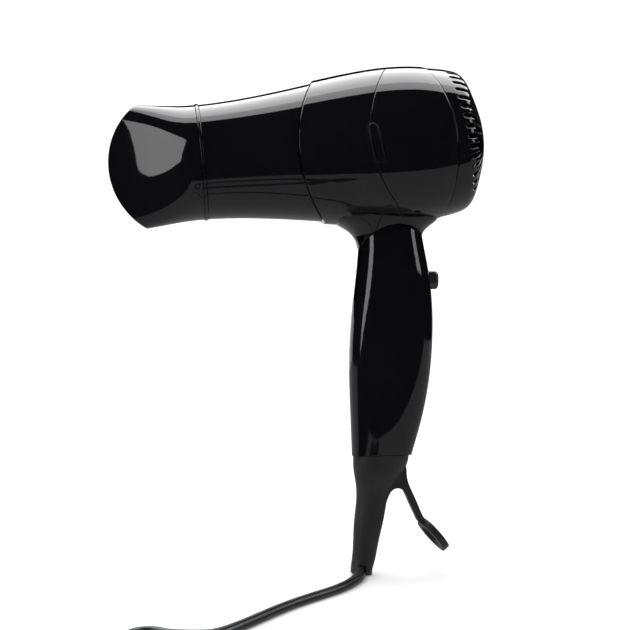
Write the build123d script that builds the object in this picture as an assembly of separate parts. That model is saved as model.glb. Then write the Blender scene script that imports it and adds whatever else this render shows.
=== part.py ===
from build123d import *
import math
import os

# Folding travel hair dryer, millimetres.  The dryer stands as it does on a table: +Z up, the
# grille end towards +X, the nozzle end towards -X, mirrored about the plane Y = 0.
# The barrel is designed in its own frame, (u, y, v), with u along the barrel axis, and is then
# placed by BARREL_AT.  The handle is designed in the part frame.

# ---- driving dimensions -------------------------------------------------------------------
BARREL_TILT = 5.13                      # nose-down tilt of the barrel axis, degrees
BARREL_AT = Location((7.9, 0, 211.9), (0, -BARREL_TILT, 0))
WALL = 2.2                              # moulded walls of the barrel and handle
SEAM = 0.3                              # open joint between neighbouring shells
SEAM_DEPTH = 0.9                        # depth of that joint
REACH = 60.0                            # half-length of the cutting prisms

FRONT_PROFILE = [(-56.1, 28.2), (-40, 29.1), (-24, 30.8), (-10, 32.7), (4, 34.9)]
REAR_PROFILE = [(-14, 33.3), (0, 35.4), (12, 37.1), (24, 38.5), (36, 39.3), (46, 39.2), (60, 37.5)]
GRILLE_PROFILE = [(52, 38.5), (60, 37.2), (68, 35.8), (73.5, 33.6), (77.5, 27.0), (82, 15.0), (85, 0)]

NOZZLE_SEAM_U = -56.1                   # flat joint between barrel and nozzle ring
SEAM_2 = (45.5, 0.0, 56.8)              # bowed joint, front barrel to mid housing: u, v, radius
SEAM_3 = (72.8, 3.0, 50.0)              # bowed joint, mid to rear housing
SEAM_4 = (-40.3, -4.0, 105.0)           # bowed joint, rear housing to grille
NECK_SEAM = (45.0, -50.0)               # point that the straight end of the third joint runs to

BORE_R = 26.0                           # bore of the barrel mouth
RING_SLEEVE_R = BORE_R - 0.06
SPIGOT_BORE_R = 24.2
SPIGOT_R = SPIGOT_BORE_R - 0.06
RING_WIDTH = 1.6                        # bead of the ring that shows between barrel and nozzle
NOZZLE_WALL = 1.8
LIP_ARC = (-65.7, 36.6)                 # bowed mouth of the nozzle: centre u, radius

PIVOT = (47.45, 156.6)                  # fold pivot, x and z
ARCH_R = 19.5                           # rounded top of the handle about the pivot
NECK_CUT_R = 19.9                       # hollow in the neck that clears the arch
KNUCKLE_R = 12.4
KNUCKLE_HALF = 5.0
SLOT_HALF = 5.6
BRACKET_Y = (5.3, 7.8)                  # inner and outer face of a cheek plate
PIVOT_BORE_R = 4.5
BUSH_R = PIVOT_BORE_R - 0.05

HANDLE_SECTIONS = [                     # z, front x, rear x, half width
    (54, 26.7, 54.9, 11.6), (78, 25.7, 61.4, 13.6), (103, 24.9, 65.9, 15.0),
    (127, 25.7, 67.2, 15.6), (143, 27.3, 66.3, 15.6), (158, 28.9, 63.9, 15.3), (182, 29.0, 61.0, 15.0),
]
NECK_SECTIONS = [
    (150, 28.6, 64.6, 15.3), (160, 28.8, 63.0, 15.3), (167, 28.4, 61.6, 15.3),
    (171, 26.2, 61.4, 15.9), (175, 20.8, 64.2, 17.6), (180, 11.0, 69.5, 20.6), (192, 0.0, 76.0, 26.0),
]
HANDLE_SQUARENESS = 2.35                # exponent of the handle's rounded section
HANDLE_FOOT_Z = 59.9
FOOT_ARCH_RISE = 2.1

SCREW_PLACES = [(41.0, 72.0), (57.5, 96.0), (36.0, 124.0)]    # x and z of the handle screws

KNOB_Z = (144.0, 153.3)                 # lower and upper edge of the switch knob when off
KNOB_TIP_X = 69.7
KNOB_HALF = 4.4
SWITCH_TRAVEL = 8.0

BOOT_SECTIONS = [                       # z, front x, rear x, half depth
    (0, 25.8, 36.6, 5.1), (6, 26.1, 37.7, 5.4), (18, 27.0, 40.2, 6.2), (34, 28.2, 43.5, 7.0),
    (41, 28.6, 45.2, 7.5), (45.5, 28.3, 47.4, 8.5), (50, 27.6, 50.6, 9.8), (55, 27.0, 53.8, 10.9),
    (64, 26.7, 56.6, 11.9),
]
BOOT_SQUARENESS = 2.25
BOOT_END = [(20, 1.83), (40, -0.35), (40, -5), (20, -5)]     # trims the end a little off level
ARM_REAR = [(52.6, 57.5), (53.4, 54.2), (53.6, 50.9), (54.2, 47.6), (56.2, 42.6), (59.0, 36.4),
            (61.8, 30.0), (63.6, 27.0)]
ARM_FRONT = [(59.9, 26.4), (57.8, 31.0), (55.4, 36.1), (53.4, 40.6), (51.5, 43.2), (48.9, 44.0),
             (46.5, 43.2), (44.9, 41.2), (43.6, 38.0)]
ARM_HALF = 4.6
LOOP_RING_AT = (68.0, 19.6)
LOOP_RING_R = 9.8
LOOP_HOLE_R = 6.2
LOOP_THICK = 3.4
LOOP_TILT = 50.1                        # fall of the ring's plane towards +X, degrees
LOOP_TWIST = 8.0                        # turn of the ring about its own length, degrees

CORD_WIDTH = 5.4                        # flat twin cord, standing on edge
CORD_THICK = 3.4
CORD_Z = CORD_WIDTH / 2
CORD_ROUTE = [
    (31.0, -3.0), (29.2, -13.0), (23.8, -24.0), (17.4, -34.2), (9.4, -43.6), (-0.8, -54.0),
    (-10.6, -65.0), (-19.4, -76.6), (-27.4, -88.0), (-36.0, -99.9), (-45.1, -111.7), (-52.2, -115.7),
    (-60.4, -116.2), (-67.6, -113.4), (-72.4, -108.5), (-79.9, -109.1), (-85.4, -117.8),
    (-88.0, -128.5), (-87.6, -140.5), (-85.6, -152.5), (-83.0, -164.5), (-80.9, -176.0),
]
COIL_AT = (-44.0, -181.0)
COIL_MID_R = 30.5
COIL_RADIAL = 13.0
COIL_HEIGHT = 11.6
COIL_LEAVE = -60.0                      # angle where the cord leaves the coil for the plug, degrees
COIL_LEAVE_R = 35.2                     # radius of the outermost turn's centreline
PIN_R = 2.0
PIN_LENGTH = 19.0
PIN_PITCH = 18.6


# ---- shared geometry ----------------------------------------------------------------------
def turned(profile, inset=0.0, ends=None):
    """Solid of revolution about X through (u, r) points, its radius reduced by inset."""
    pts = [(u, max(r - inset, 0.0)) for u, r in profile]
    edges = [Spline(*pts)]
    if pts[-1][1] > 0:
        edges.append(Line(pts[-1], (pts[-1][0], 0)))
    edges.append(Line((pts[-1][0], 0), (pts[0][0], 0)))
    edges.append(Line((pts[0][0], 0), pts[0]))
    return revolve(Face(Wire(edges)), Axis.X, 360)


def rod(radius, u0, u1, v=0.0, y=0.0):
    """Cylinder along u."""
    centre = Location(((u0 + u1) / 2, y, v), (0, 90, 0))
    return centre * Cylinder(radius, u1 - u0)


def tube(outer, inner, u0, u1):
    """Tube along u about the barrel axis."""
    return rod(outer, u0, u1) - rod(inner, u0 - 1, u1 + 1)


def pin_y(radius, x, z, y0, y1):
    """Cylinder along Y."""
    return Location((x, (y0 + y1) / 2, z), (90, 0, 0)) * Cylinder(radius, y1 - y0)


def block(x0, x1, y0, y1, z0, z1):
    """Box from its limits."""
    return Location(((x0 + x1) / 2, (y0 + y1) / 2, (z0 + z1) / 2)) * Box(x1 - x0, y1 - y0, z1 - z0)


def side_prism(points, half=REACH):
    """Prism along Y of a closed polygon given in side view."""
    face = Plane.XZ * make_face(Polyline(*points, close=True))
    return extrude(face, half, both=True)


def oval_wire(plane, half_a, half_b, power, centre_a=0.0):
    """Closed rounded outline with half axes a and b; power 2 is an ellipse."""
    pts = []
    for step in range(16):
        angle = math.tau * step / 16
        ca, sa = math.cos(angle), math.sin(angle)
        a = half_a * math.copysign(abs(ca) ** (2 / power), ca)
        b = half_b * math.copysign(abs(sa) ** (2 / power), sa)
        pts.append((centre_a + a, b))
    return plane * Wire(Spline(*pts, periodic=True))


def upright_loft(sections, inset=0.0, power=HANDLE_SQUARENESS):
    """Loft of level sections, each given as z, front x, rear x and half width."""
    faces = []
    for z, front, rear, half in sections:
        wire = oval_wire(Plane.XY.offset(z), (rear - front) / 2 - inset, half - inset, power,
                         (rear + front) / 2)
        faces.append(Face(wire))
    return loft(faces)


def polar(count):
    """Even angles round the barrel axis."""
    return [360 * i / count for i in range(count)]


def behind_arc(centre_u, centre_v, radius, shift=0.0):
    """Everything on the grille side of a joint that bows towards the nozzle."""
    disc = pin_y(radius - shift, centre_u, centre_v, -REACH, REACH)
    return disc + block(centre_u, centre_u + 90, -REACH, REACH, -120, 90)


def behind_third(shift=0.0):
    """Everything on the grille side of the third joint, which runs straight down the neck."""
    u, v, radius = SEAM_3
    start = (u - radius * math.cos(math.radians(38)), v - radius * math.sin(math.radians(38)))
    neck = side_prism([(start[0] + shift, start[1] + 0.01), (NECK_SEAM[0] + shift, NECK_SEAM[1]),
                       (NECK_SEAM[0] + 90, NECK_SEAM[1]), (NECK_SEAM[0] + 90, start[1] + 0.01)])
    upper = behind_arc(u, v, radius, shift) - block(-50, 200, -REACH, REACH, -200, start[1])
    return upper + neck


def behind_fourth(shift=0.0):
    """Everything on the rear side of the joint between rear housing and grille."""
    u, v, radius = SEAM_4
    return block(40, 110, -REACH, REACH, -70, 70) - pin_y(radius + shift, u, v, -REACH, REACH)


def skin(profile):
    """Outer layer of a turned shell, as deep as the open joints."""
    return turned(profile) - turned(profile, SEAM_DEPTH)


# ---- barrel shells, in the barrel frame ---------------------------------------------------
def neck_solid(inset=0.0):
    """Flared neck between barrel and handle, moved into the barrel frame."""
    return BARREL_AT.inverse() * upright_loft(NECK_SECTIONS, inset)


def at_pivot(radius, half=REACH):
    """Cylinder about the fold pivot, in the barrel frame."""
    return BARREL_AT.inverse() * pin_y(radius, PIVOT[0], PIVOT[1], -half, half)


def fold_relief():
    """Corner of the neck's foot that the handle's front passes at the end of the fold."""
    x0 = PIVOT[0] + NECK_CUT_R * math.cos(math.radians(127))
    z0 = PIVOT[1] + NECK_CUT_R * math.sin(math.radians(127))
    slope = math.tan(math.radians(14))
    wedge = side_prism([(x0, z0), (x0 - 40, z0 - 40 * slope), (x0 - 40, z0 - 40), (x0, z0 - 40)])
    wedge -= block(-60, 90, -SLOT_HALF + 0.5, SLOT_HALF - 0.5, 100, 220)
    return BARREL_AT.inverse() * wedge


def cover_region(shift=0.0):
    """Front of the neck that the hinge cover takes."""
    corner = [(38.2 + shift, 181.8), (36.1 + shift, 174.8), (34.6 + shift, 168.0), (34.6 + shift, 150.0)]
    return BARREL_AT.inverse() * side_prism(corner + [(-10, 150.0), (-10, 181.8)])


def clip_capsule(width, length, side):
    """Upright capsule prism across the side of the third joint."""
    capsule = Plane.XZ * (Pos(25.2, 0.0) * Rot(0, 0, 90 + 10.7) * SlotOverall(length, width))
    return Pos(0, side * 20, 0) * extrude(capsule, -side * 30)


def barrel_shells():
    """Front barrel, mid and rear housing with the neck, its cover and the two seam clips."""
    rear_outer = turned(REAR_PROFILE + [(66, 36.0)])
    rear_inner = turned(REAR_PROFILE + [(66, 36.0)], WALL)
    rear_skin = skin(REAR_PROFILE + [(66, 36.0)])
    front_shell = turned(FRONT_PROFILE) - turned(FRONT_PROFILE, WALL) - rod(BORE_R, -57, -47)
    front_shell += tube(28.0, BORE_R - 2.0, -46.9, -45.4) & turned(FRONT_PROFILE)
    neck = (neck_solid() - neck_solid(WALL)) - rear_inner - at_pivot(NECK_CUT_R)
    web = neck_solid() & at_pivot(NECK_CUT_R + WALL) - at_pivot(NECK_CUT_R)
    web -= BARREL_AT.inverse() * block(31.5, 60.0, -SLOT_HALF, SLOT_HALF, 150, 190)
    neck = neck + (web - rear_inner)
    neck -= fold_relief()
    shell = (rear_outer - rear_inner - neck_solid(WALL)) + (neck - rear_inner)

    u2, v2, r2 = SEAM_2
    front = front_shell - behind_arc(u2, v2, r2)
    front -= skin(FRONT_PROFILE) & behind_arc(u2, v2, r2, -SEAM)
    body = shell & behind_arc(u2, v2, r2)
    mid = body - behind_third()
    mid -= rear_skin & behind_third(-SEAM)
    rear = (body & behind_third()) - behind_fourth()
    rear -= rear_skin & behind_fourth(-SEAM)

    cover = (mid & cover_region()) - rear_outer
    mid = mid - (cover_region(SEAM) - rear_outer)

    clips = {}
    for name, side in (("seam_clip_left", -1), ("seam_clip_right", 1)):
        pocket = rear_skin & clip_capsule(4.9, 20.6, side)
        mid -= pocket
        rear -= pocket
        clips[name] = rear_skin & clip_capsule(3.9, 19.6, side)
    return front, mid, rear, cover, clips


def rear_grille():
    """Domed intake grille with a ring of slots that run back over the dome."""
    count, width, inner_r = 44, 2.5, 20.0
    dome = turned(GRILLE_PROFILE) - turned([(u - 2.0, r) for u, r in GRILLE_PROFILE], 1.6)
    dome = dome & behind_fourth(0.02)
    slots = []
    for angle in polar(count):
        start = 71.0 - 0.12 * 34.0 * math.sin(math.radians(angle))
        cut = block(start, 92, -width / 2, width / 2, inner_r, 42)
        cut += Pos(start, 0, 31) * Cylinder(width / 2, 22)
        slots.append(Rot(angle - 90, 0, 0) * cut)
    dome -= slots
    return dome + (tube(33.7, 32.2, 58.0, 70.5) & turned(GRILLE_PROFILE, 0.4))


# ---- nozzle -------------------------------------------------------------------------------
def nozzle_loft(inset):
    """Concentrator body: round at the ring, a tall narrow mouth in front."""
    stations = [(NOZZLE_SEAM_U - RING_WIDTH - 0.2, 28.3, 28.3, 2.0), (-68, 28.5, 25.8, 2.1), (-80, 29.6, 17.5, 2.4),
                (-92, 30.6, 10.8, 2.8), (-103, 31.4, 8.0, 3.2)]
    faces = []
    for u, tall, wide, power in stations:
        plane = Plane(origin=(u, 0, 0), x_dir=(0, 0, 1), z_dir=(1, 0, 0))
        faces.append(Face(oval_wire(plane, tall - inset, wide - inset, power)))
    return loft(faces)


def nozzle_parts():
    """Nozzle shell, which turns, and the ring that it turns in and pulls off with."""
    u, radius = LIP_ARC
    lip = block(-130, u, -REACH, REACH, -REACH, REACH) - pin_y(radius, u, 0, -REACH, REACH)
    shell = nozzle_loft(0) - nozzle_loft(NOZZLE_WALL) - lip
    back_u = NOZZLE_SEAM_U - RING_WIDTH - 0.2
    shell += tube(SPIGOT_R, SPIGOT_R - 1.7, back_u - 1.2, -50)
    shell += tube(28.0, SPIGOT_R - 1.7, back_u - 1.7, back_u)
    ring = tube(28.75, SPIGOT_BORE_R, NOZZLE_SEAM_U - RING_WIDTH, NOZZLE_SEAM_U - SEAM)
    ring += tube(RING_SLEEVE_R, SPIGOT_BORE_R, -57, -48.5)
    return shell, ring


# ---- inside the barrel --------------------------------------------------------------------
def outlet_grille():
    """Round outlet guard: rings on six spokes."""
    guard = tube(25.6, 23.4, -45.2, -43.2)
    for radius in (18.0, 12.0, 6.0):
        guard += tube(radius + 0.7, radius - 0.7, -45.0, -43.4)
    for angle in polar(6):
        guard += Rot(angle, 0, 0) * block(-45.0, -43.4, -0.7, 0.7, 5.5, 24.0)
    return guard


def heater():
    """Mica sleeve, two crossed mica plates, two windings, thermostat and fuse."""
    sleeve = tube(25.5, 24.9, -42.8, 2.0)
    length = (-42.0, 1.0)
    tall = block(*length, -0.4, 0.4, -19.3, 19.3)
    tall += block(length[0], length[0] + 4, -0.4, 0.4, -24.6, 24.6)
    tall += block(length[1] - 4, length[1], -0.4, 0.4, -24.6, 24.6)
    flat = Rot(90, 0, 0) * tall
    tall -= block(-60, -20.5, -0.45, 0.45, -0.45, 0.45)
    flat -= block(-20.5, 10, -0.45, 0.45, -0.45, 0.45)
    windings = []
    for start in (-36.5, -32.5):
        path = Helix(pitch=8.0, height=28.0, radius=20.1)
        wire = sweep(Plane(origin=path @ 0, z_dir=path % 0) * Circle(0.6), path)
        windings.append(Location((start, 0, 0), (0, 90, 0)) * wire)
    thermostat = block(-12, -3, 0.5, 3.5, 4, 12)
    fuse = rod(1.3, -16, -5, 8, -2.0)
    return sleeve, tall, flat, windings, thermostat, fuse


def fan_duct():
    """Duct round the impeller, stator vanes and the cup that holds the motor."""
    duct = tube(31.5, 29.8, 8, 57)
    duct += tube(34.6, 31.0, 9, 11.5) & turned(REAR_PROFILE, WALL + 0.1)
    duct += tube(38.0, 31.0, 44, 46.5) & turned(REAR_PROFILE, WALL + 0.1)
    duct += tube(13.9, 12.1, 10, 34)
    for angle in polar(7):
        duct += Rot(angle, 0, 0) * block(12, 33, -0.7, 0.7, 13.2, 30.5)
    return duct


def motor():
    """Motor can with its end cap, rectifier board, shaft and impeller."""
    can = rod(12.0, 8.5, 35.0) - rod(1.05, 0, 60)
    can -= tube(11.2, 2.5, 9.0, 34.0)
    cap = rod(11.8, 5.6, 8.5) - rod(1.05, 0, 60)
    board = rod(11.0, 3.4, 5.0) - rod(2.2, 0, 60)
    for angle in polar(4):
        board += Rot(angle + 45, 0, 0) * block(0.8, 3.6, -2.2, 2.2, 5.6, 8.4)
    shaft = rod(1.0, 5.8, 52)
    impeller = rod(9.0, 37.5, 51) - rod(1.0, 30, 60)
    impeller += tube(9.4, 7.0, 37.5, 39)
    blade = block(-6.2, 6.2, -0.6, 0.6, 8.2, 29.0)
    for angle in polar(9):
        impeller += Rot(angle, 0, 0) * (Pos(44.5, 0, 0) * Rot(0, 0, 38) * blade)
    return can, cap, board, shaft, impeller & rod(29.2, 30, 60)


# ---- hinge --------------------------------------------------------------------------------
def hinge_knuckle():
    """Tongue of the neck that turns between the handle's cheeks, in the part frame."""
    x, z = PIVOT
    knuckle = pin_y(KNUCKLE_R, x, z, -KNUCKLE_HALF, KNUCKLE_HALF)
    knuckle += block(x - 12.0, x + 10.5, -KNUCKLE_HALF, KNUCKLE_HALF, z, 177.5)
    knuckle += block(31.7, x - 11.0, -KNUCKLE_HALF, KNUCKLE_HALF, 163.5, 177.5)
    knuckle -= pin_y(PIVOT_BORE_R, x, z, -20, 20)
    knuckle -= Pos(x, 0, z + 14) * Cylinder(3.2, 28)
    return knuckle


def hinge_brackets():
    """Cheek plates and hollow pivot bushes, one pair each side."""
    x, z = PIVOT
    brackets, bushes = [], []
    for side in (-1, 1):
        inner_y, outer_y = BRACKET_Y
        plate = pin_y(KNUCKLE_R - 0.4, x, z, inner_y, outer_y)
        plate += block(x - 8.5, x + 8.5, inner_y, outer_y, z - 22, z)
        plate -= pin_y(BUSH_R, x, z, 0, 20)
        bush = pin_y(BUSH_R, x, z, 0.5, outer_y + 1.6) + pin_y(6.0, x, z, outer_y, outer_y + 1.6)
        bush -= pin_y(3.3, x, z, 0, 20)
        brackets.append(plate if side > 0 else mirror(plate, Plane.XZ))
        bushes.append(bush if side > 0 else mirror(bush, Plane.XZ))
    return brackets, bushes


# ---- handle -------------------------------------------------------------------------------
def under_arch(radius, z0, z1):
    """Handle length between two heights, its top rounded about the pivot."""
    x, z = PIVOT
    return block(0, 90, -40, 40, z0, z) + (pin_y(radius, x, z, -40, 40) & block(0, 90, -40, 40, z - 1, z1))


def foot_arch(drop=0.0):
    """Prism below the gently arched foot of the handle."""
    mid_x = 40.9
    curve = ThreePointArc((15, HANDLE_FOOT_Z - 3.2 - drop), (mid_x, HANDLE_FOOT_Z + FOOT_ARCH_RISE - drop),
                          (67, HANDLE_FOOT_Z - 1.6 - drop))
    frame = Polyline((67, HANDLE_FOOT_Z - 1.6 - drop), (67, 0), (15, 0), (15, HANDLE_FOOT_Z - 3.2 - drop))
    return extrude(Plane.XZ * make_face([curve, *frame.edges()]), 40, both=True)


def handle_shells():
    """Left and right half of the handle, with the hinge slot, switch window and screw bosses."""
    x, z = PIVOT
    outer = upright_loft(HANDLE_SECTIONS) & under_arch(ARCH_R, 40, 190)
    inner = upright_loft(HANDLE_SECTIONS, WALL) & under_arch(ARCH_R - WALL, 30, 190)
    shell = outer - inner - foot_arch()
    shell -= block(20, x + 12, -SLOT_HALF, SLOT_HALF, z + 3, 190)
    shell -= block(20, x - 5, -SLOT_HALF, SLOT_HALF, 139, 190)
    shell -= block(60, 75, -KNOB_HALF - 0.4, KNOB_HALF + 0.4, KNOB_Z[0] - SWITCH_TRAVEL - 0.5, KNOB_Z[1] + 0.5)
    halves = []
    for side in (-1, 1):
        bosses = [pin_y(3.2, bx, bz, *sorted((0.02 * side, 30 * side))) for bx, bz in SCREW_PLACES]
        half = shell & block(0, 90, *sorted((0, 40 * side)), 0, 200)
        for boss in bosses:
            half += boss & outer
        halves.append(half)
    left, right = halves
    for bx, bz in SCREW_PLACES:
        left -= pin_y(1.25, bx, bz, -9, 1)
        right -= pin_y(1.6, bx, bz, -1, 30)
        right -= pin_y(2.8, bx, bz, 8.5, 30)
    return left, right


def handle_screws():
    """Three screws, driven from the right side."""
    screws = []
    for bx, bz in SCREW_PLACES:
        screw = pin_y(1.25, bx, bz, -8.5, 8.5) + pin_y(2.6, bx, bz, 8.5, 10.3)
        screw -= block(bx - 2, bx + 2, 9.5, 11, bz - 0.3, bz + 0.3)
        screw -= block(bx - 0.3, bx + 0.3, 9.5, 11, bz - 2, bz + 2)
        screws.append(screw)
    return screws


def switch_parts():
    """Slide switch: knob, the slider strip that it carries, and the switch body."""
    low, high = KNOB_Z
    root_x, rim_x = 61.7, KNOB_TIP_X - 1.6
    stem = block(root_x, rim_x, -KNOB_HALF, KNOB_HALF, low, high)
    stem = fillet(stem.edges().filter_by(Axis.X), KNOB_HALF - 0.1)
    cap = block(rim_x, KNOB_TIP_X, -KNOB_HALF, KNOB_HALF, low, high)
    cap = fillet(cap.edges().filter_by(Axis.X), KNOB_HALF - 0.1)
    cap = fillet(cap.faces().sort_by(Axis.X)[-1].edges(), 1.4)
    knob = stem + cap
    slider = block(59.9, root_x, -3.4, 3.4, 122.0, high - 0.8)
    body = block(43.0, 59.5, -6.2, 6.2, 111, 133)
    return knob, slider, body


# ---- cord end -----------------------------------------------------------------------------
def loop_place():
    """Centre plane of the hang loop's ring."""
    tilted = Location((LOOP_RING_AT[0], 0, LOOP_RING_AT[1]), (0, LOOP_TILT, 0))
    return tilted * Location((0, 0, 0), (-LOOP_TWIST, 0, 0))


def loop_arm():
    """Curved arm that carries the hang loop, with the web at its root."""
    rear = Spline(*ARM_REAR)
    front = Spline(*ARM_FRONT)
    ends = [Line(ARM_REAR[-1], ARM_FRONT[0]),
            *Polyline(ARM_FRONT[-1], (40.0, 44.0), (42.0, 54.0), ARM_REAR[0]).edges()]
    return extrude(Plane.XZ * make_face([rear, front, *ends]), ARM_HALF, both=True)


def cord_boot():
    """Rubber boot with the strain relief and the hang loop, one moulding."""
    collar = upright_loft(BOOT_SECTIONS, 0, BOOT_SQUARENESS) & foot_arch(0.25)
    root = upright_loft([(46, 29.4, 48.0, 7.4), (66, 29.3, 53.8, 9.2)])
    ring_at = loop_place()
    arm = loop_arm() - ring_at * Cylinder(LOOP_RING_R - 0.5, 12)
    boot = collar + root + arm + ring_at * Cylinder(LOOP_RING_R, LOOP_THICK) - side_prism(BOOT_END)
    boot -= ring_at * Cylinder(LOOP_HOLE_R, 20)
    boot -= Pos(38.5, 0, 50) * Box(CORD_WIDTH + 0.1, CORD_THICK + 0.1, 60)
    slot = block(31.0 - CORD_THICK / 2 - 0.05, 31.0 + CORD_THICK / 2 + 0.05, -12, -3.0, 0, CORD_WIDTH + 0.05)
    return boot - slot


def route_radii(points):
    """Corner radii: 0.45 of the shorter run over the tangent of half the turn."""
    radii = []
    for a, b, c in zip(points, points[1:], points[2:]):
        first = Vector(b[0] - a[0], b[1] - a[1])
        second = Vector(c[0] - b[0], c[1] - b[1])
        half_turn = math.radians(first.get_angle(second)) / 2
        radii.append(0.45 * min(first.length, second.length) / math.tan(half_turn))
    return radii


def cord_run():
    """Free stretch of the cord on the table, from the relief to the coil."""
    radii = route_radii(CORD_ROUTE)
    print("cord arcs (mm):", [round(r, 1) for r in radii])
    flat_path = FilletPolyline(*CORD_ROUTE, radius=radii)
    path = Pos(0, 0, CORD_Z) * flat_path
    start = Plane(origin=path @ 0, x_dir=Vector(0, 0, 1).cross(path % 0), z_dir=path % 0)
    run = sweep(start * (Rot(0, 0, 90) * SlotOverall(CORD_WIDTH, CORD_THICK)), path)
    section = SlotOverall(CORD_WIDTH, CORD_THICK).area
    print("cord run: length", round(path.length, 1), "volume", round(run.volume, 1),
          "section x length", round(section * path.length, 1))
    return run


def cord_coil():
    """Outer shape of the coiled rest of the cord."""
    face = Plane.XZ * (Pos(COIL_MID_R, COIL_HEIGHT / 2) * RectangleRounded(COIL_RADIAL, COIL_HEIGHT, 2.5))
    return Pos(*COIL_AT, 0) * revolve(face, Axis.Z, 360)


def plug_parts():
    """Generic flat two-pin plug with its own short relief, along the tangent where the coil ends."""
    half = 7.0
    body = fillet(block(22, 44, -17.0, 17.0, 0, 2 * half).edges().filter_by(Axis.X), 5.0)
    grip = loft([Plane(origin=(22.1, 0, half), z_dir=(-1, 0, 0)) * RectangleRounded(12, 12, 3),
                 Plane(origin=(11, 0, half), z_dir=(-1, 0, 0)) * RectangleRounded(7.6, 6.4, 2)])
    pins = [rod(PIN_R, 44, 44 + PIN_LENGTH, half, side * PIN_PITCH / 2) for side in (-1, 1)]
    angle = math.radians(COIL_LEAVE)
    at = Location((COIL_AT[0] + COIL_LEAVE_R * math.cos(angle),
                   COIL_AT[1] + COIL_LEAVE_R * math.sin(angle), 0), (0, 0, COIL_LEAVE + 90))
    return at * (body + grip), [at * pin for pin in pins]


# ---- leads and clamp ----------------------------------------------------------------------
def inner_leads():
    """The two cord cores inside the handle, from the clamp up to the switch."""
    leads = []
    for side in (-1, 1):
        points = [(38.5 + side * 1.5, 0, 81.0), (38.5 + side * 1.5, side * 1.0, 92.0),
                  (46.0, side * 4.0, 101.0), (48.0 + side, side * 4.0, 110.6)]
        path = FilletPolyline(*points, radius=[5, 4])
        leads.append(sweep(Plane(origin=path @ 0, z_dir=path % 0) * Circle(0.9), path))
    return leads


def cord_clamp():
    """Bar that pins the cord down inside the handle, with two screws."""
    bar = block(33.0, 50.0, 1.8, 4.6, 76, 80.5)
    screws = []
    for sx in (34.9, 46.5):
        bar -= pin_y(1.3, sx, 78.2, 0, 10)
        screws.append(pin_y(1.2, sx, 78.2, -6.0, 4.6) + pin_y(2.1, sx, 78.2, 4.6, 5.8))
    return bar, screws


def build():
    """Every node by name."""
    nodes = {}
    front, mid, rear, cover, clips = barrel_shells()
    nozzle, ring = nozzle_parts()
    sleeve, tall, flat, windings, thermostat, fuse = heater()
    can, cap, board, shaft, impeller = motor()
    filter_disc = rod(32.15, 62.0, 62.8)
    in_barrel = {
        "front_barrel": front, "mid_housing": mid, "rear_housing": rear, "hinge_cover": cover,
        "rear_grille": rear_grille(), "filter_mesh": filter_disc, "nozzle_shell": nozzle,
        "nozzle_ring": ring, "outlet_grille": outlet_grille(), "mica_sleeve": sleeve,
        "mica_plate_vertical": tall, "mica_plate_horizontal": flat, "heater_coil_high": windings[0],
        "heater_coil_low": windings[1], "thermostat": thermostat, "thermal_fuse": fuse,
        "fan_duct": fan_duct(), "motor_can": can, "motor_end_cap": cap, "rectifier_board": board,
        "motor_shaft": shaft, "impeller": impeller, **clips,
    }
    for name, shape in in_barrel.items():
        nodes[name] = BARREL_AT * shape
    nodes["hinge_knuckle"] = hinge_knuckle()
    brackets, bushes = hinge_brackets()
    nodes["hinge_bracket_left"], nodes["hinge_bracket_right"] = brackets
    nodes["pivot_bush_left"], nodes["pivot_bush_right"] = bushes
    nodes["handle_left_shell"], nodes["handle_right_shell"] = handle_shells()
    nodes["handle_screws"] = Compound(children=handle_screws())
    nodes["switch_knob"], nodes["switch_slider"], nodes["switch_body"] = switch_parts()
    nodes["cord_boot"] = cord_boot()
    nodes["cord_run"] = cord_run()
    nodes["cord_coil"] = cord_coil()
    plug, pins = plug_parts()
    nodes["plug_body"] = plug
    nodes["plug_pins"] = Compound(children=pins)
    leads = inner_leads()
    nodes["inner_leads"] = Compound(children=leads)
    bar, clamp_screws = cord_clamp()
    nodes["cord_clamp"] = bar
    nodes["clamp_screws"] = Compound(children=clamp_screws)
    return nodes


os.makedirs("parts", exist_ok=True)
for node_name, node_shape in build().items():
    export_step(node_shape, f"parts/{node_name}.step")
    print(f"{node_name:24s} solids {len(node_shape.solids())} volume {node_shape.volume:10.1f}")
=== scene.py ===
"""Looks of a folding travel hair dryer: gloss casings, soft rubber boot, flat twin cord, innards."""
from __future__ import annotations

import logging
import math
from dataclasses import dataclass
from enum import Enum
from typing import Sequence

import bpy
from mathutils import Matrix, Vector

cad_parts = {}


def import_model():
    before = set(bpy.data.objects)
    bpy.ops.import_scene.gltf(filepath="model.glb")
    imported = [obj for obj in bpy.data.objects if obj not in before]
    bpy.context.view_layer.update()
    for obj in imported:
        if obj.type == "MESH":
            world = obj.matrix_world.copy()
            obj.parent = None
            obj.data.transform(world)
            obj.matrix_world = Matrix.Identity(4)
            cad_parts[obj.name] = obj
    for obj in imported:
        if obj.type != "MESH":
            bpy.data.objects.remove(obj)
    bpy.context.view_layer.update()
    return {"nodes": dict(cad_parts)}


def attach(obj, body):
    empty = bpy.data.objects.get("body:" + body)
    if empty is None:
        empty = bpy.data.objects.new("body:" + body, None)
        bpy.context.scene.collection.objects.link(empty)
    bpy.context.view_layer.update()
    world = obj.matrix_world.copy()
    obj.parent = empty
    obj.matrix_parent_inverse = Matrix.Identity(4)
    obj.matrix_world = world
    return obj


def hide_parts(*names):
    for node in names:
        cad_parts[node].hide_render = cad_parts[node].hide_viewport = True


LOG = logging.getLogger("hair_dryer")
MM = 0.001
Point = tuple[float, float, float]
Colour = tuple[float, float, float]
Triple = tuple[float, float, float]
Nodes = dict[str, bpy.types.Object]


class Body(Enum):
    """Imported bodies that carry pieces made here."""

    HANDLE = "handle"


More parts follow.
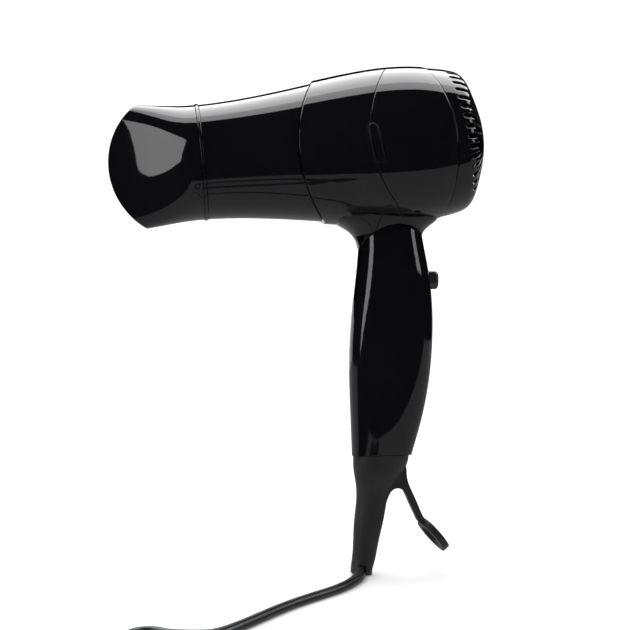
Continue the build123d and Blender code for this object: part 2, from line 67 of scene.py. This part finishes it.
# ---- shader kit ----------------------------------------------------------------------------
class Signal:
    """A shader value that Python's operators turn into Math nodes."""

    def __init__(self, kit: "ShaderKit", socket: bpy.types.NodeSocket) -> None:
        """Wraps one output socket.

        Args:
            kit: the material being built.
            socket: the output that carries the value.
        """
        self.kit = kit
        self.socket = socket

    def _math(self, operation: str, *values: "Signal | float") -> "Signal":
        """Adds one Math node.

        Args:
            operation: Blender's name of the operation.
            values: its inputs in order.

        Returns:
            The node's result.
        """
        inputs = dict(enumerate(values))
        return self.kit.node("ShaderNodeMath", {"operation": operation}, inputs)

    def __add__(self, other: "Signal | float") -> "Signal":
        """self + other."""
        return self._math("ADD", self, other)

    __radd__ = __add__

    def __mul__(self, other: "Signal | float") -> "Signal":
        """self * other."""
        return self._math("MULTIPLY", self, other)

    __rmul__ = __mul__

    def over(self, threshold: float, softness: float) -> "Signal":
        """Soft step from 0 to 1.

        Args:
            threshold: value in the middle of the step.
            softness: width of the step.

        Returns:
            The stepped value.
        """
        limits = {1: threshold - softness / 2, 2: threshold + softness / 2, 3: 0.0, 4: 1.0}
        return self.kit.node("ShaderNodeMapRange", {"clamp": True}, {0: self, **limits})


class ShaderKit:
    """Builds one node material."""

    def __init__(self, name: str, edge_radius: float) -> None:
        """Starts a material with a Principled shader.

        Args:
            name: the material's name.
            edge_radius: radius that breaks the piece's sharp edges, in metres.
        """
        self.edge_radius = edge_radius
        self.material = bpy.data.materials.new(name)
        self.material.use_nodes = True
        self.tree = self.material.node_tree
        self.shader = next(n for n in self.tree.nodes if n.type == "BSDF_PRINCIPLED")
        coordinates = self.tree.nodes.new("ShaderNodeTexCoord")
        self.place = Signal(self, coordinates.outputs["Object"])

    def node(
        self,
        kind: str,
        settings: dict[str, object] | None = None,
        inputs: dict[int | str, object] | None = None,
        output: int | str = 0,
    ) -> Signal:
        """Adds any node.

        Args:
            kind: Blender's node type.
            settings: properties that are set first.
            inputs: values or signals by input index or name.
            output: the output that is returned.

        Returns:
            The chosen output.
        """
        made = self.tree.nodes.new(kind)
        for key, value in (settings or {}).items():
            setattr(made, key, value)
        for key, value in (inputs or {}).items():
            if isinstance(value, Signal):
                self.tree.links.new(value.socket, made.inputs[key])
            else:
                made.inputs[key].default_value = value
        return Signal(self, made.outputs[output])

    def noise(self, scale: float, detail: float = 3.0, roughness: float = 0.5) -> Signal:
        """Noise over the object, scale in cycles per metre."""
        values = {"Vector": self.place, "Scale": scale, "Detail": detail, "Roughness": roughness}
        return self.node("ShaderNodeTexNoise", {}, values)

    def stretched(self, along: Triple) -> Signal:
        """Object coordinates scaled along each axis."""
        return self.node("ShaderNodeVectorMath", {"operation": "MULTIPLY"}, {0: self.place, 1: along})

    def feed(self, name: str, value: Signal) -> None:
        """Links a varying value to the shader."""
        self.tree.links.new(value.socket, self.shader.inputs[name])

    def fix(self, **constants: object) -> None:
        """Sets constants on the shader's sockets, underscores standing for spaces."""
        for key, value in constants.items():
            self.shader.inputs[key.replace("_", " ")].default_value = value

    def tint(self, dark: Sequence[float], light: Sequence[float], mask: Signal) -> None:
        """Base colour between two colours.

        Args:
            dark: colour where the mask is 0.
            light: colour where the mask is 1.
            mask: the mixing value.
        """
        mixed = self.node(
            "ShaderNodeMix",
            {"data_type": "RGBA"},
            {0: mask, 6: (*dark, 1.0), 7: (*light, 1.0)},
            output=2,
        )
        self.feed("Base Color", mixed)

    def relief(self, height: Signal, strength: float, distance: float) -> None:
        """Bump from a height, over edges that are broken by a small radius.

        Args:
            height: the height value.
            strength: the bump's strength.
            distance: the height of a full step, in metres.
        """
        rounded = self.node("ShaderNodeBevel", {"samples": 6}, {"Radius": self.edge_radius})
        values = {"Height": height, "Strength": strength, "Distance": distance, "Normal": rounded}
        self.feed("Normal", self.node("ShaderNodeBump", {}, values))


# ---- finishes ------------------------------------------------------------------------------
@dataclass(frozen=True)
class Finish:
    """A surface finish; build returns its material."""

    name: str
    edge: float = 0.25 * MM

    def build(self) -> bpy.types.Material:
        """Makes the material.

        Returns:
            The node material.
        """
        raise NotImplementedError


@dataclass(frozen=True)
class GlossCasing(Finish):
    """Polished moulded casing with faint flow ripple and handling haze."""

    dark: Colour = (0.0022, 0.0022, 0.0028)
    light: Colour = (0.0042, 0.0042, 0.0052)
    polish: float = 0.035
    haze: float = 0.06

    def build(self) -> bpy.types.Material:
        """Makes the material.

        Returns:
            The node material.
        """
        kit = ShaderKit(self.name, self.edge)
        broad = kit.noise(22.0, 2.0)
        smear = kit.noise(65.0, 5.0, 0.65).over(0.62, 0.2)
        kit.tint(self.dark, self.light, broad)
        kit.feed("Roughness", smear * self.haze + (broad * 0.02 + self.polish))
        ripple = kit.noise(120.0, 1.5)
        kit.relief(ripple, 0.1, 0.00004)
        kit.fix(IOR=1.5, Specular_IOR_Level=0.5)
        return kit.material


@dataclass(frozen=True)
class MattPlastic(Finish):
    """Spark-eroded moulded plastic with a fine even grain."""

    dark: Colour = (0.02, 0.02, 0.022)
    light: Colour = (0.035, 0.035, 0.038)
    roughness: float = 0.45
    grain: float = 2600.0

    def build(self) -> bpy.types.Material:
        """Makes the material.

        Returns:
            The node material.
        """
        kit = ShaderKit(self.name, self.edge)
        grain = kit.noise(self.grain, 2.0)
        kit.tint(self.dark, self.light, kit.noise(90.0, 4.0))
        kit.feed("Roughness", grain * 0.12 + (self.roughness - 0.06))
        kit.relief(grain, 0.35, 0.00005)
        return kit.material


@dataclass(frozen=True)
class SoftRubber(Finish):
    """Dull moulded rubber, finely pitted, paler where it is rubbed."""

    dark: Colour = (0.005, 0.005, 0.006)
    light: Colour = (0.011, 0.011, 0.0125)
    roughness: float = 0.52

    def build(self) -> bpy.types.Material:
        """Makes the material.

        Returns:
            The node material.
        """
        kit = ShaderKit(self.name, self.edge)
        pits = kit.noise(1900.0, 3.0, 0.6)
        rub = kit.noise(60.0, 4.0, 0.6).over(0.55, 0.35)
        kit.tint(self.dark, self.light, rub)
        kit.feed("Roughness", pits * 0.14 + rub * -0.06 + (self.roughness - 0.04))
        kit.relief(pits, 0.3, 0.00006)
        kit.fix(Sheen_Weight=0.05, Sheen_Roughness=0.5)
        return kit.material


@dataclass(frozen=True)
class CordJacket(Finish):
    """Extruded flexible jacket: smooth, finely rippled, with dull patches."""

    dark: Colour = (0.008, 0.008, 0.009)
    light: Colour = (0.016, 0.016, 0.018)

    def build(self) -> bpy.types.Material:
        """Makes the material.

        Returns:
            The node material.
        """
        kit = ShaderKit(self.name, self.edge)
        dull = kit.noise(140.0, 4.0, 0.6)
        kit.tint(self.dark, self.light, dull)
        kit.feed("Roughness", dull * 0.18 + 0.24)
        kit.relief(kit.noise(900.0, 2.0), 0.2, 0.00003)
        return kit.material


@dataclass(frozen=True)
class Metal(Finish):
    """Plated or bare metal with fine brushed lines along one axis."""

    dark: Colour = (0.45, 0.45, 0.47)
    light: Colour = (0.62, 0.62, 0.64)
    roughness: float = 0.28
    lines: Triple = (200.0, 4000.0, 4000.0)

    def build(self) -> bpy.types.Material:
        """Makes the material.

        Returns:
            The node material.
        """
        kit = ShaderKit(self.name, self.edge)
        brushed = kit.node(
            "ShaderNodeTexNoise", {}, {"Vector": kit.stretched(self.lines), "Scale": 1.0, "Detail": 3.0}
        )
        kit.tint(self.dark, self.light, brushed)
        kit.feed("Roughness", brushed * 0.18 + (self.roughness - 0.09))
        kit.relief(brushed, 0.15, 0.00002)
        kit.fix(Metallic=1.0)
        return kit.material


@dataclass(frozen=True)
class Mica(Finish):
    """Pressed mica sheet: buff, flaky and slightly silvery."""

    dark: Colour = (0.34, 0.26, 0.16)
    light: Colour = (0.62, 0.54, 0.38)

    def build(self) -> bpy.types.Material:
        """Makes the material.

        Returns:
            The node material.
        """
        kit = ShaderKit(self.name, self.edge)
        flakes = kit.node(
            "ShaderNodeTexVoronoi", {"feature": "F1"}, {"Vector": kit.place, "Scale": 420.0}, "Distance"
        )
        kit.tint(self.dark, self.light, flakes)
        kit.feed("Roughness", flakes * 0.3 + 0.3)
        kit.relief(flakes, 0.25, 0.00008)
        return kit.material


@dataclass(frozen=True)
class WovenFilter(Finish):
    """Fine square-woven lint filter."""

    dark: Colour = (0.004, 0.004, 0.004)
    light: Colour = (0.09, 0.09, 0.095)
    threads: float = 2400.0

    def build(self) -> bpy.types.Material:
        """Makes the material.

        Returns:
            The node material.
        """
        kit = ShaderKit(self.name, self.edge)
        bands = []
        for direction in ("Y", "Z"):
            settings = {"wave_type": "BANDS", "bands_direction": direction, "wave_profile": "SIN"}
            values = {"Vector": kit.place, "Scale": self.threads / 20.0, "Distortion": 0.0}
            bands.append(kit.node("ShaderNodeTexWave", settings, values))
        weave = (bands[0] + bands[1]) * 0.5
        kit.tint(self.dark, self.light, weave.over(0.62, 0.2))
        kit.relief(weave, 0.6, 0.0002)
        kit.fix(Roughness=0.6)
        return kit.material


@dataclass(frozen=True)
class CircuitBoard(Finish):
    """Green solder mask with paler tracks."""

    dark: Colour = (0.008, 0.07, 0.025)
    light: Colour = (0.03, 0.16, 0.06)

    def build(self) -> bpy.types.Material:
        """Makes the material.

        Returns:
            The node material.
        """
        kit = ShaderKit(self.name, self.edge)
        tracks = kit.node(
            "ShaderNodeTexBrick", {}, {"Vector": kit.place, "Scale": 260.0, "Mortar Size": 0.04}, "Fac"
        )
        kit.tint(self.dark, self.light, tracks)
        kit.relief(tracks, 0.3, 0.0001)
        kit.fix(Roughness=0.3)
        return kit.material


@dataclass(frozen=True)
class StudioPaper(Finish):
    """Plain white paper of the floor sweep."""

    level: float = 0.9

    def build(self) -> bpy.types.Material:
        """Makes the material.

        Returns:
            The node material.
        """
        kit = ShaderKit(self.name, self.edge)
        fibre = kit.noise(30.0, 2.0)
        kit.tint((self.level,) * 3, (self.level + 0.01,) * 3, fibre)
        kit.fix(Roughness=0.9, Specular_IOR_Level=0.1)
        return kit.material


class Wardrobe:
    """Makes each finish once and puts it on objects."""

    def __init__(self) -> None:
        """Starts with no materials made."""
        self._made: dict[Finish, bpy.types.Material] = {}

    def material(self, finish: Finish) -> bpy.types.Material:
        """Gives a finish's material, made on first use.

        Args:
            finish: the finish.

        Returns:
            Its material.
        """
        if finish not in self._made:
            self._made[finish] = finish.build()
        return self._made[finish]

    def dress(self, piece: bpy.types.Object, finish: Finish) -> None:
        """Puts one finish on every slot of a piece.

        Args:
            piece: the object to dress.
            finish: its finish.
        """
        material = self.material(finish)
        if not piece.material_slots:
            piece.data.materials.append(material)
        for slot in piece.material_slots:
            slot.material = material


def link(piece: bpy.types.Object) -> bpy.types.Object:
    """Puts an object into the scene."""
    bpy.context.scene.collection.objects.link(piece)
    return piece


def mesh_piece(name: str, verts: Sequence[Point], faces: Sequence[Sequence[int]]) -> bpy.types.Object:
    """A smooth-shaded mesh object.

    Args:
        name: the object's name.
        verts: its vertices, in metres.
        faces: its faces.

    Returns:
        The linked object.
    """
    data = bpy.data.meshes.new(name)
    data.from_pydata(verts, [], faces)
    data.update()
    data.shade_smooth()
    return link(bpy.data.objects.new(name, data))


# ---- cord ----------------------------------------------------------------------------------
@dataclass
class CoilStrap:
    """Strap round the turns of the coil, with chamfered edges."""

    angle: float = 70.0
    half_width: float = 4.5 * MM
    chamfer: float = 0.3 * MM
    thick: float = 0.5 * MM
    side_play: float = 0.35 * MM
    top_play: float = 0.1 * MM
    floor_gap: float = 0.06 * MM
    corner_power: float = 0.35
    steps: int = 40
    finish: Finish = SoftRubber(
        "tie_strap", dark=(0.02, 0.02, 0.021), light=(0.04, 0.04, 0.042), roughness=0.7
    )

    def outline(self, half_wide: float, half_high: float) -> list[tuple[float, float]]:
        """Rounded rectangle round the turns.

        Args:
            half_wide: half its width, in metres.
            half_high: half its height, in metres.

        Returns:
            Points as sideways and upward offsets, in metres.
        """
        points = []
        for step in range(self.steps):
            turn = math.tau * step / self.steps
            across, up = math.cos(turn), math.sin(turn)
            points.append((
                math.copysign(abs(across) ** self.corner_power, across) * half_wide,
                math.copysign(abs(up) ** self.corner_power, up) * half_high,
            ))
        return points

    def build(self, cord: "FlatCord", wardrobe: Wardrobe) -> bpy.types.Object:
        """Makes the strap.

        Args:
            cord: the cord whose coil it holds.
            wardrobe: gives the finish.

        Returns:
            The strap.
        """
        wound = cord.turn_pitch * cord.layer_turns
        half_wide = (wound + cord.thick) / 2 + self.side_play
        half_high = (cord.layer_rise + cord.width) / 2 + self.top_play
        angle = math.radians(self.angle)
        out = Vector((math.cos(angle), math.sin(angle), 0))
        along = Vector((-math.sin(angle), math.cos(angle), 0))
        centre = Vector((*cord.coil_centre, half_high)) + out * (cord.coil_outer - wound / 2)
        loop = self.outline(half_wide, half_high)
        crest = self.half_width - self.chamfer
        rows = ((-self.half_width, 0.0), (-crest, self.thick), (crest, self.thick), (self.half_width, 0.0))
        verts: list[Point] = []
        faces: list[tuple[int, ...]] = []
        for row, (shift, lift) in enumerate(rows):
            grow = 1 + lift / half_wide
            here, following = row * self.steps, (row + 1) % len(rows) * self.steps
            for step, (across, up) in enumerate(loop):
                height = Vector((0, 0, max(up * grow, self.floor_gap - half_high)))
                verts.append(tuple(centre + out * across * grow + along * shift + height))
                beside = (step + 1) % self.steps
                faces.append((here + step, here + beside, following + beside, following + step))
        tie = mesh_piece("coil_tie", verts, faces)
        wardrobe.dress(tie, self.finish)
        LOG.info("CoilStrap: coil_tie, %d vertices", len(verts))
        return tie


@dataclass
class FlatCord:
    """Flat twin mains cord with its coil, and the strap on it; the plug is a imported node."""

    width: float = 5.4 * MM
    thick: float = 3.4 * MM
    length: float = 1.52
    coil_centre: tuple[float, float] = (-0.044, -0.181)
    coil_outer: float = 36.5 * MM
    turn_pitch: float = 3.7 * MM
    layer_turns: float = 3.0
    climb_turns: float = 0.3056
    layer_rise: float = 5.55 * MM
    enter_angle: float = 190.0
    per_turn: int = 16
    tail: tuple[tuple[float, float], ...] = ((0.0070, 0.0077), (0.0140, 0.0070))
    core_start: float = -38.0
    core_sweep: float = 256.0
    core_steps: int = 10
    jacket: Finish = CordJacket("cord_jacket")
    route: tuple[Point, ...] = (
        (0.0310, -0.0030, 0.0027), (0.0292, -0.0130, 0.0024), (0.0238, -0.0240, 0.0020),
        (0.0174, -0.0342, 0.0019), (0.0094, -0.0436, 0.0019), (-0.0008, -0.0540, 0.0019),
        (-0.0106, -0.0650, 0.0019), (-0.0194, -0.0766, 0.0019), (-0.0274, -0.0880, 0.0019),
        (-0.0360, -0.0999, 0.0019), (-0.0451, -0.1117, 0.0021), (-0.0522, -0.1157, 0.0024),
        (-0.0604, -0.1162, 0.0027), (-0.0676, -0.1134, 0.0027), (-0.0724, -0.1085, 0.0027),
        (-0.0799, -0.1091, 0.0027), (-0.0854, -0.1178, 0.0027), (-0.0880, -0.1285, 0.0027),
        (-0.0876, -0.1405, 0.0027), (-0.0856, -0.1525, 0.0027), (-0.0830, -0.1645, 0.0027),
        (-0.0809, -0.1760, 0.0027),
    )

    def coil_points(self) -> list[Point]:
        """Centreline of the coil: in along the lower layer, up, and out along the upper one.

        Returns:
            Points in metres.
        """
        total = 2 * self.layer_turns + self.climb_turns
        inner = self.coil_outer - self.turn_pitch * self.layer_turns
        points = []
        count = round(total * self.per_turn)
        for step in range(1, count + 1):
            turn = total * step / count
            angle = math.radians(self.enter_angle) + math.tau * turn
            climb = min(max((turn - self.layer_turns) / self.climb_turns, 0.0), 1.0)
            out = max(turn - self.layer_turns - self.climb_turns, 0.0)
            radius = max(self.coil_outer - self.turn_pitch * turn, inner) + self.turn_pitch * out
            x = self.coil_centre[0] + radius * math.cos(angle)
            y = self.coil_centre[1] + radius * math.sin(angle)
            points.append((x, y, self.width / 2 + self.layer_rise * climb))
        return points

    def tail_points(self, last: Point) -> list[Point]:
        """The few points from the coil into the plug's relief.

        Args:
            last: the coil's last point, in metres.

        Returns:
            Points in metres.
        """
        leave = self.enter_angle + 360 * (2 * self.layer_turns + self.climb_turns) + 90
        angle = math.radians(leave)
        step = (math.cos(angle), math.sin(angle))
        return [(last[0] + step[0] * run, last[1] + step[1] * run, z) for run, z in self.tail]

    def centreline(self) -> list[Vector]:
        """Points of the cord's smooth centreline, read from its spline.

        Returns:
            Points in metres.
        """
        points: list[Point] = [*self.route, *self.coil_points()]
        points += self.tail_points(points[-1])
        data = bpy.data.curves.new("cord_line", "CURVE")
        data.dimensions = "3D"
        data.resolution_u = 8
        spline = data.splines.new("NURBS")
        spline.points.add(len(points) - 1)
        for control, place in zip(spline.points, points):
            control.co = (*place, 1.0)
        spline.order_u = 3
        spline.use_endpoint_u = True
        holder = link(bpy.data.objects.new("cord_line", data))
        bpy.context.view_layer.update()
        line = bpy.data.meshes.new_from_object(holder)
        places = [vertex.co.copy() for vertex in line.vertices]
        bpy.data.objects.remove(holder)
        bpy.data.curves.remove(data)
        bpy.data.meshes.remove(line)
        return places

    def roll(self, height: float) -> float:
        """Lean of the flat cord that puts its lower edge on the table.

        Args:
            height: height of the centreline, in metres.

        Returns:
            Angle from standing on edge, in radians.
        """
        core = self.thick / 2
        return math.acos(min(max((height - core) / (self.width / 2 - core), 0.0), 1.0))

    def section(self) -> list[tuple[float, float]]:
        """Twin-core outline: two round cores joined by a thin waist.

        Returns:
            Points as sideways and upward offsets, in metres.
        """
        core = self.thick / 2
        offset = self.width / 2 - core
        outline = []
        for sign, start in ((1, self.core_start), (-1, self.core_start + 180)):
            for step in range(self.core_steps + 1):
                angle = math.radians(start + self.core_sweep * step / self.core_steps)
                outline.append((core * math.cos(angle), core * math.sin(angle) + offset * sign))
        return outline

    def build(self, wardrobe: Wardrobe) -> None:
        """Args:
            wardrobe: gives the finishes.
        """
        path = self.centreline()
        outline = self.section()
        verts: list[Point] = []
        faces: list[tuple[int, ...]] = []
        count = len(outline)
        for index, place in enumerate(path):
            ahead = path[min(index + 1, len(path) - 1)] - path[max(index - 1, 0)]
            tangent = ahead.normalized()
            level = tangent.cross(Vector((0, 0, 1))).normalized()
            upright = level.cross(tangent).normalized()
            lean = self.roll(place.z)
            side = level * math.cos(lean) - upright * math.sin(lean)
            rise = upright * math.cos(lean) + level * math.sin(lean)
            for across, up in outline:
                verts.append(tuple(place + side * across + rise * up))
        for ring in range(len(path) - 1):
            for step in range(count):
                a = ring * count + step
                b = ring * count + (step + 1) % count
                faces.append((a, b, b + count, a + count))
        faces.append(tuple(range(count)))
        faces.append(tuple(reversed(range((len(path) - 1) * count, len(path) * count))))
        cord = mesh_piece("flat_cord", verts, faces)
        wardrobe.dress(cord, self.jacket)
        tie = CoilStrap().build(self, wardrobe)
        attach(cord, Body.HANDLE.value)
        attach(tie, Body.HANDLE.value)
        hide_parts("cord_run", "cord_coil")
        LOG.info("FlatCord: flat_cord, %d vertices", len(verts))


# ---- sub-assemblies ------------------------------------------------------------------------
@dataclass
class SubAssembly:
    """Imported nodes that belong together; dress gives each its finish."""

    nodes: Nodes
    wardrobe: Wardrobe

    def wear(self, finish: Finish, *names: str) -> None:
        """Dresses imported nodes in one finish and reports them.

        Args:
            finish: the finish.
            names: the nodes.
        """
        for name in names:
            self.wardrobe.dress(self.nodes[name], finish)
            LOG.info("%s: %s wears %s", type(self).__name__, name, finish.name)

    def dress(self) -> None:
        """Gives every node of the group its finish."""
        raise NotImplementedError


@dataclass
class Casings(SubAssembly):
    """Gloss shells of the nozzle, barrel and hinge cover, with the rear grille."""

    lip: float = 0.6 * MM
    polish: float = 0.035

    def dress(self) -> None:
        """Gives every node of the group its finish."""
        gloss = GlossCasing("gloss_casing", self.lip, polish=self.polish)
        self.wear(gloss, "nozzle_shell", "nozzle_ring", "front_barrel", "mid_housing", "rear_housing")
        self.wear(gloss, "hinge_cover", "rear_grille", "seam_clip_left", "seam_clip_right")


@dataclass
class AirPath(SubAssembly):
    """Grille, duct, filter, fan and motor."""

    thread_scale: float = 2400.0
    moulded_edge: float = 0.3 * MM

    def dress(self) -> None:
        """Gives every node of the group its finish."""
        inner = MattPlastic("inner_plastic", self.moulded_edge)
        blades = MattPlastic(
            "fan_plastic", self.moulded_edge, dark=(0.12, 0.12, 0.13), light=(0.2, 0.2, 0.21)
        )
        self.wear(inner, "outlet_grille", "fan_duct", "motor_end_cap")
        self.wear(blades, "impeller")
        self.wear(WovenFilter("woven_filter", threads=self.thread_scale), "filter_mesh")
        self.wear(Metal("plated_steel"), "motor_shaft", "motor_can")


@dataclass
class Heater(SubAssembly):
    """Mica former with its two windings and safety cut-outs."""

    wire_edge: float = 0.1 * MM

    def dress(self) -> None:
        """Gives every node of the group its finish."""
        wire = Metal(
            "resistance_wire", self.wire_edge, dark=(0.25, 0.22, 0.2), light=(0.5, 0.46, 0.42), roughness=0.4
        )
        self.wear(wire, "heater_coil_high", "heater_coil_low")
        self.wear(Mica("pressed_mica"), "mica_sleeve", "mica_plate_vertical", "mica_plate_horizontal")
        self.wear(Metal("cut_out_steel"), "thermostat", "thermal_fuse")


@dataclass
class Hinge(SubAssembly):
    """Folding knuckle, its brackets and the bushes they turn on."""

    turned_edge: float = 0.2 * MM

    def dress(self) -> None:
        """Gives every node of the group its finish."""
        self.wear(MattPlastic("knuckle_plastic", roughness=0.4), "hinge_knuckle")
        self.wear(Metal("bracket_steel", self.turned_edge), "hinge_bracket_left", "hinge_bracket_right")
        brass = Metal("turned_brass", self.turned_edge, dark=(0.62, 0.52, 0.34), light=(0.8, 0.7, 0.48))
        self.wear(brass, "pivot_bush_left", "pivot_bush_right")


@dataclass
class Handle(SubAssembly):
    """Two gloss shells, their screws and the wiring between them."""

    seam_edge: float = 0.5 * MM

    def dress(self) -> None:
        """Gives every node of the group its finish."""
        self.wear(GlossCasing("gloss_handle", self.seam_edge), "handle_left_shell", "handle_right_shell")
        self.wear(Metal("screw_steel"), "handle_screws", "clamp_screws")
        self.wear(MattPlastic("clamp_plastic"), "cord_clamp")
        self.wear(CircuitBoard("circuit_board"), "rectifier_board")
        leads = CordJacket("lead_insulation", dark=(0.25, 0.25, 0.26), light=(0.4, 0.4, 0.41))
        self.wear(leads, "inner_leads")


@dataclass
class SwitchUnit(SubAssembly):
    """Sliding knob on its slider, over the switch body."""

    knob_edge: float = 0.6 * MM
    knob_polish: float = 0.1

    def dress(self) -> None:
        """Gives every node of the group its finish."""
        knob = GlossCasing(
            "gloss_knob", self.knob_edge, dark=(0.012, 0.012, 0.013), light=(0.02, 0.02, 0.021),
            polish=self.knob_polish,
        )
        self.wear(knob, "switch_knob")
        self.wear(MattPlastic("switch_plastic"), "switch_slider", "switch_body")


@dataclass
class CordEnds(SubAssembly):
    """Rubber boot with its hanging loop, and the plug at the cord's far end."""

    boot_edge: float = 0.5 * MM
    pin_edge: float = 0.3 * MM

    def dress(self) -> None:
        """Gives every node of the group its finish."""
        self.wear(SoftRubber("soft_rubber", self.boot_edge), "cord_boot")
        plug = MattPlastic(
            "plug_plastic", self.boot_edge, dark=(0.012, 0.012, 0.013), light=(0.022, 0.022, 0.024),
            roughness=0.36,
        )
        self.wear(plug, "plug_body")
        pins = Metal("nickelled_brass", self.pin_edge, dark=(0.62, 0.52, 0.34), light=(0.8, 0.7, 0.48))
        self.wear(pins, "plug_pins")


# ---- studio --------------------------------------------------------------------------------
@dataclass(frozen=True)
class Glow(Finish):
    """Even light of a reflector card, with a slight fall-off across it."""

    radiance: float = 1.0
    fall: float = 0.15

    def build(self) -> bpy.types.Material:
        """Makes the material.

        Returns:
            The node material.
        """
        kit = ShaderKit(self.name, self.edge)
        cloud = kit.noise(1.2, 1.0) * self.fall
        grey = (1.0 - self.fall) + cloud
        colour = kit.node("ShaderNodeCombineColor", {}, {0: grey, 1: grey, 2: grey})
        kit.feed("Emission Color", colour)
        kit.fix(Base_Color=(0.0, 0.0, 0.0, 1.0), Emission_Strength=self.radiance, Specular_IOR_Level=0.0)
        return kit.material


@dataclass
class Reflector:
    """A card that shows only in glossy surfaces."""

    name: str
    corners: tuple[Point, ...]
    radiance: float

    def build(self, wardrobe: Wardrobe) -> None:
        """Sets up the card.

        Args:
            wardrobe: gives its glow.
        """
        card = mesh_piece(self.name, self.corners, [tuple(range(len(self.corners)))])
        wardrobe.dress(card, Glow(f"glow_{self.name}", radiance=self.radiance))
        card.visible_camera = False
        card.visible_diffuse = False
        card.visible_shadow = False
        card.visible_transmission = False


@dataclass
class SoftBox:
    """One rectangular studio light for the matt surfaces and the floor."""

    name: str
    centre: Point
    target: Point
    size: tuple[float, float]
    radiance: float

    def build(self) -> None:
        """Hangs the light."""
        data = bpy.data.lights.new(self.name, "AREA")
        data.shape = "RECTANGLE"
        data.size, data.size_y = self.size
        data.energy = self.radiance * math.pi * self.size[0] * self.size[1]
        lamp = link(bpy.data.objects.new(self.name, data))
        lamp.location = self.centre
        lamp.visible_camera = False
        lamp.visible_glossy = False
        aim = Vector(self.target) - Vector(self.centre)
        lamp.rotation_euler = aim.to_track_quat("-Z", "Y").to_euler()


@dataclass
class Studio:
    """Floor sweep, lights and camera."""

    eye: Point = (-0.0691, -0.6952, 0.1606)
    look: Point = (0.0076, 0.0, 0.1313)
    lens: float = 80.0
    sensor: float = 36.0
    near_clip: float = 0.05
    floor_front: float = -1.6
    sweep_back: float = 1.5
    sweep_radius: float = 0.5
    sweep_top: float = 2.4
    sweep_steps: int = 12
    half_width: float = 2.2
    air_level: float = 1.0
    lights: tuple[SoftBox, ...] = (
        SoftBox("top_light", (-0.2, 0.3, 1.3), (0.0, 0.0, 0.0), (1.6, 1.2), 1.3),
        SoftBox("left_light", (-1.1, -0.3, 0.7), (0.0, 0.0, 0.1), (0.7, 0.9), 1.5),
        SoftBox("back_light", (0.0, 0.9, 1.6), (0.0, 1.4, 0.4), (2.0, 0.8), 1.5),
    )
    cards: tuple[Reflector, ...] = (
        Reflector("table_card", ((-0.17, -0.275, -0.002), (1.2, -0.275, -0.002), (1.2, 1.2, -0.002),
                                 (-1.2, 1.2, -0.002), (-1.2, 0.02, -0.002), (-0.17, 0.02, -0.002)), 0.4),
        Reflector("back_card", ((-1.2, 1.2, 0.0), (1.2, 1.2, 0.0), (1.2, 1.2, 0.16), (-1.2, 1.2, 0.16)), 1.0),
        Reflector("top_front_card", ((-1.3, -0.12, 1.15), (1.3, -0.12, 1.15), (1.3, 0.12, 1.15),
                                     (-1.3, 0.12, 1.15)), 4.2),
        Reflector("top_card", ((-1.3, 0.12, 1.15), (1.3, 0.12, 1.15), (1.3, 1.3, 1.15),
                               (-1.3, 1.3, 1.15)), 6.5),
        Reflector("left_card", ((-0.71, -0.48, 0.20), (-0.52, -0.64, 0.75), (-0.80, -0.30, 0.75),
                                (-0.89, -0.19, 0.05)), 4.0),
        Reflector("right_card", ((0.85, -0.45, 0.25), (0.95, -0.2, 0.25), (0.95, -0.2, 0.8),
                                 (0.85, -0.45, 0.8)), 3.2),
    )

    def sweep(self, wardrobe: Wardrobe) -> None:
        """Paper that runs from the front of the table up behind the dryer.

        Args:
            wardrobe: gives the finish.
        """
        radius, start = self.sweep_radius, self.sweep_back - self.sweep_radius
        profile = [(self.floor_front, 0.0), (start, 0.0)]
        for step in range(1, self.sweep_steps + 1):
            angle = math.pi / 2 * step / self.sweep_steps
            profile.append((start + radius * math.sin(angle), radius - radius * math.cos(angle)))
        profile.append((self.sweep_back, self.sweep_top))
        verts: list[Point] = []
        faces = []
        for y, z in profile:
            verts += [(-self.half_width, y, z), (self.half_width, y, z)]
        for row in range(len(profile) - 1):
            faces.append((2 * row, 2 * row + 1, 2 * row + 3, 2 * row + 2))
        paper = mesh_piece("floor_sweep", verts, faces)
        wardrobe.dress(paper, StudioPaper("studio_paper"))
        paper.visible_glossy = False

    def camera(self) -> None:
        """Places the camera."""
        data = bpy.data.cameras.new("studio_camera")
        data.lens = self.lens
        data.sensor_width = self.sensor
        data.clip_start = self.near_clip
        seat = link(bpy.data.objects.new("studio_camera", data))
        seat.location = self.eye
        aim = Vector(self.look) - Vector(self.eye)
        seat.rotation_euler = aim.to_track_quat("-Z", "Y").to_euler()
        bpy.context.scene.camera = seat

    def air(self) -> None:
        """Pale even surroundings that gloss surfaces don't mirror."""
        world = bpy.data.worlds.new("studio_air")
        world.use_nodes = True
        back = next(n for n in world.node_tree.nodes if n.type == "BACKGROUND")
        back.inputs["Color"].default_value = (1.0, 1.0, 1.0, 1.0)
        back.inputs["Strength"].default_value = self.air_level
        world.cycles_visibility.glossy = False
        bpy.context.scene.world = world

    def build(self, wardrobe: Wardrobe) -> None:
        """Sets up the studio.

        Args:
            wardrobe: gives the finishes.
        """
        self.camera()
        self.air()
        self.sweep(wardrobe)
        for box in self.lights:
            box.build()
        for card in self.cards:
            card.build(wardrobe)
        bpy.context.scene.view_settings.view_transform = "Standard"
        LOG.info("Studio: %d lights, %d reflector cards", len(self.lights), len(self.cards))


def main() -> None:
    """Builds the whole scene."""
    logging.basicConfig(level=logging.INFO, format="%(name)s: %(message)s")
    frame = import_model()
    wardrobe = Wardrobe()
    studio = Studio()
    studio.build(wardrobe)
    FlatCord().build(wardrobe)
    for group in (Casings, AirPath, Heater, Hinge, Handle, SwitchUnit, CordEnds):
        group(frame["nodes"], wardrobe).dress()


if __name__ == "__main__":
    main()
